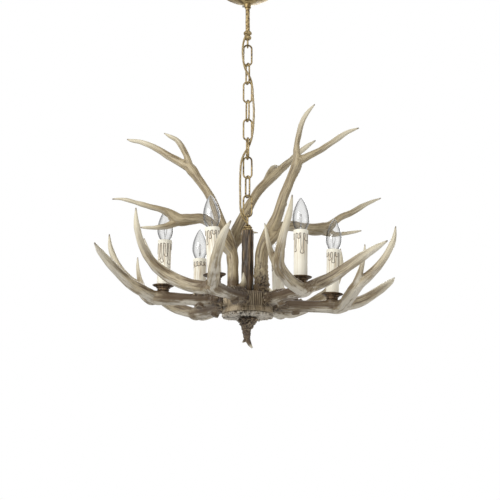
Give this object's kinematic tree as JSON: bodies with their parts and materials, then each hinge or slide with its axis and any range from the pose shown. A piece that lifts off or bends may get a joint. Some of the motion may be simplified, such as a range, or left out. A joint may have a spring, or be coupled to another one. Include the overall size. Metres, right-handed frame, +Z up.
{
  "type": "antler chandelier",
  "caption": "Chandelier of cast antlers round a ribbed hub, with candle lights on the lower arms, hung from a ceiling canopy by a rod and a link chain with a laced flex.",
  "frame": {"origin": "centre of the ceiling bracket's top face, in the plane of the ceiling; everything hangs below it", "axes": "+Z up to the ceiling, +X to the right of someone facing the front, +Y away from them"},
  "size_m": [0.6444, 0.6901, 0.8087],
  "materials": {
    "antler_resin": "cast resin, stained like bone, satin",
    "dark_resin": "cast resin, dark bark brown",
    "pale_burr": "cast resin, pearled, pale bone grey",
    "antique_gold": "antique gold bronze, satin",
    "dark_bronze": "dark bronze paint",
    "candle_ivory": "ivory with a brown wash",
    "clear_glass": "clear",
    "bulb_brass": "plain",
    "plated_steel": "zinc plated",
    "white_plastic": "moulded",
    "amber_flex": "clear amber sheath"
  },
  "bodies": {
    "ceiling_fixing": {"ceiling_bracket": "plated_steel", "rod_nut": "plated_steel", "terminal_block": "white_plastic", "downrod": "antique_gold", "rod_loop": "antique_gold", "supply_cord": "amber_flex"},
    "canopy": {"canopy": "antique_gold", "canopy_collar": "antique_gold"},
    "collar_screw": {"collar_screw": "antique_gold"},
    "link_1": {"chain_link_1": "antique_gold"},
    "link_2": {"chain_link_2": "antique_gold"},
    "link_3": {"chain_link_3": "antique_gold"},
    "link_4": {"chain_link_4": "antique_gold"},
    "link_5": {"chain_link_5": "antique_gold"},
    "link_6": {"chain_link_6": "antique_gold"},
    "link_7": {"chain_link_7": "antique_gold"},
    "link_8": {"chain_link_8": "antique_gold"},
    "link_9": {"chain_link_9": "antique_gold"},
    "chandelier": {"stem_loop": "antique_gold", "stem_cap": "antique_gold", "stem_sleeve": "dark_resin", "threaded_tube": "plated_steel", "hub_drum": "dark_resin", "hub_rosette": "pale_burr", "finial": "dark_resin", "hub_nuts": "plated_steel", "arm_bolts": "plated_steel", "upper_antler_bolts": "plated_steel", "left_upper_antler": "antler_resin", "right_upper_antler": "antler_resin", "rear_upper_antler": "antler_resin", "candle_cups": "dark_resin", "drip_pans": "dark_bronze", "lampholders": "white_plastic", "right_arm": "antler_resin", "front_right_arm": "antler_resin", "front_left_arm": "antler_resin", "left_arm": "antler_resin", "rear_left_arm": "antler_resin", "rear_right_arm": "antler_resin"},
    "right_sleeve": {"right_candle_sleeve": "candle_ivory"},
    "right_bulb": {"right_bulb_glass": "clear_glass", "right_bulb_cap": "bulb_brass"},
    "front_right_sleeve": {"front_right_candle_sleeve": "candle_ivory"},
    "front_right_bulb": {"front_right_bulb_glass": "clear_glass", "front_right_bulb_cap": "bulb_brass"},
    "front_left_sleeve": {"front_left_candle_sleeve": "candle_ivory"},
    "front_left_bulb": {"front_left_bulb_glass": "clear_glass", "front_left_bulb_cap": "bulb_brass"},
    "left_sleeve": {"left_candle_sleeve": "candle_ivory"},
    "left_bulb": {"left_bulb_glass": "clear_glass", "left_bulb_cap": "bulb_brass"},
    "rear_left_sleeve": {"rear_left_candle_sleeve": "candle_ivory"},
    "rear_left_bulb": {"rear_left_bulb_glass": "clear_glass", "rear_left_bulb_cap": "bulb_brass"},
    "rear_right_sleeve": {"rear_right_candle_sleeve": "candle_ivory"},
    "rear_right_bulb": {"rear_right_bulb_glass": "clear_glass", "rear_right_bulb_cap": "bulb_brass"}
  },
  "joints": [
    {"name": "canopy_slide", "type": "slide", "parent": "ceiling_fixing", "child": "canopy", "axis": [0, 0, 1], "range_m": [-0.055, 0]},
    {"name": "collar_screw_turn", "type": "hinge", "parent": "canopy", "child": "collar_screw", "pos_m": [-0.0073, 0, -0.0325], "axis": [1, 0, 0], "continuous": true},
    {"name": "link_1_swing", "type": "hinge", "parent": "ceiling_fixing", "child": "link_1", "pos_m": [0, 0, -0.1306], "axis": [0, 1, 0], "range_deg": [-15, 15], "deforming": ["supply_cord"]},
    {"name": "link_2_swing", "type": "hinge", "parent": "link_1", "child": "link_2", "pos_m": [0, 0, -0.174], "axis": [1, 0, 0], "range_deg": [-15, 15]},
    {"name": "link_3_swing", "type": "hinge", "parent": "link_2", "child": "link_3", "pos_m": [0, 0, -0.2174], "axis": [0, 1, 0], "range_deg": [-15, 15]},
    {"name": "link_4_swing", "type": "hinge", "parent": "link_3", "child": "link_4", "pos_m": [0, 0, -0.2608], "axis": [1, 0, 0], "range_deg": [-15, 15]},
    {"name": "link_5_swing", "type": "hinge", "parent": "link_4", "child": "link_5", "pos_m": [0, 0, -0.3042], "axis": [0, 1, 0], "range_deg": [-15, 15]},
    {"name": "link_6_swing", "type": "hinge", "parent": "link_5", "child": "link_6", "pos_m": [0, 0, -0.3476], "axis": [1, 0, 0], "range_deg": [-15, 15]},
    {"name": "link_7_swing", "type": "hinge", "parent": "link_6", "child": "link_7", "pos_m": [0, 0, -0.391], "axis": [0, 1, 0], "range_deg": [-15, 15]},
    {"name": "link_8_swing", "type": "hinge", "parent": "link_7", "child": "link_8", "pos_m": [0, 0, -0.4344], "axis": [1, 0, 0], "range_deg": [-15, 15]},
    {"name": "link_9_swing", "type": "hinge", "parent": "link_8", "child": "link_9", "pos_m": [0, 0, -0.4778], "axis": [0, 1, 0], "range_deg": [-15, 15]},
    {"name": "stem_swing", "type": "hinge", "parent": "link_9", "child": "chandelier", "pos_m": [0, 0, -0.5212], "axis": [1, 0, 0], "range_deg": [-15, 15]},
    {"name": "right_bulb_lift", "type": "slide", "parent": "chandelier", "child": "right_bulb", "axis": [0.043, 0.0129, 0.999], "range_m": [0, 0.13]},
    {"name": "right_sleeve_lift", "type": "slide", "parent": "chandelier", "child": "right_sleeve", "axis": [0.043, 0.0129, 0.999], "range_m": [0, 0.098]},
    {"name": "front_right_bulb_lift", "type": "slide", "parent": "chandelier", "child": "front_right_bulb", "axis": [0.0147, 0.0065, 0.9999], "range_m": [0, 0.13]},
    {"name": "front_right_sleeve_lift", "type": "slide", "parent": "chandelier", "child": "front_right_sleeve", "axis": [0.0147, 0.0065, 0.9999], "range_m": [0, 0.098]},
    {"name": "front_left_bulb_lift", "type": "slide", "parent": "chandelier", "child": "front_left_bulb", "axis": [-0.0554, 0.0211, 0.9982], "range_m": [0, 0.13]},
    {"name": "front_left_sleeve_lift", "type": "slide", "parent": "chandelier", "child": "front_left_sleeve", "axis": [-0.0554, 0.0211, 0.9982], "range_m": [0, 0.098]},
    {"name": "left_bulb_lift", "type": "slide", "parent": "chandelier", "child": "left_bulb", "axis": [0.0223, -0.0071, 0.9997], "range_m": [0, 0.13]},
    {"name": "left_sleeve_lift", "type": "slide", "parent": "chandelier", "child": "left_sleeve", "axis": [0.0223, -0.0071, 0.9997], "range_m": [0, 0.098]},
    {"name": "rear_left_bulb_lift", "type": "slide", "parent": "chandelier", "child": "rear_left_bulb", "axis": [-0.0007, 0.0038, 1], "range_m": [0, 0.13]},
    {"name": "rear_left_sleeve_lift", "type": "slide", "parent": "chandelier", "child": "rear_left_sleeve", "axis": [-0.0007, 0.0038, 1], "range_m": [0, 0.098]},
    {"name": "rear_right_bulb_lift", "type": "slide", "parent": "chandelier", "child": "rear_right_bulb", "axis": [-0.0183, -0.0207, 0.9996], "range_m": [0, 0.13]},
    {"name": "rear_right_sleeve_lift", "type": "slide", "parent": "chandelier", "child": "rear_right_sleeve", "axis": [-0.0183, -0.0207, 0.9996], "range_m": [0, 0.098]}
  ],
  "couplings": [
    {"joint": "right_sleeve_lift", "follows": "right_bulb_lift", "ratio": 0.75},
    {"joint": "front_right_sleeve_lift", "follows": "front_right_bulb_lift", "ratio": 0.75},
    {"joint": "front_left_sleeve_lift", "follows": "front_left_bulb_lift", "ratio": 0.75},
    {"joint": "left_sleeve_lift", "follows": "left_bulb_lift", "ratio": 0.75},
    {"joint": "rear_left_sleeve_lift", "follows": "rear_left_bulb_lift", "ratio": 0.75},
    {"joint": "rear_right_sleeve_lift", "follows": "rear_right_bulb_lift", "ratio": 0.75}
  ]
}
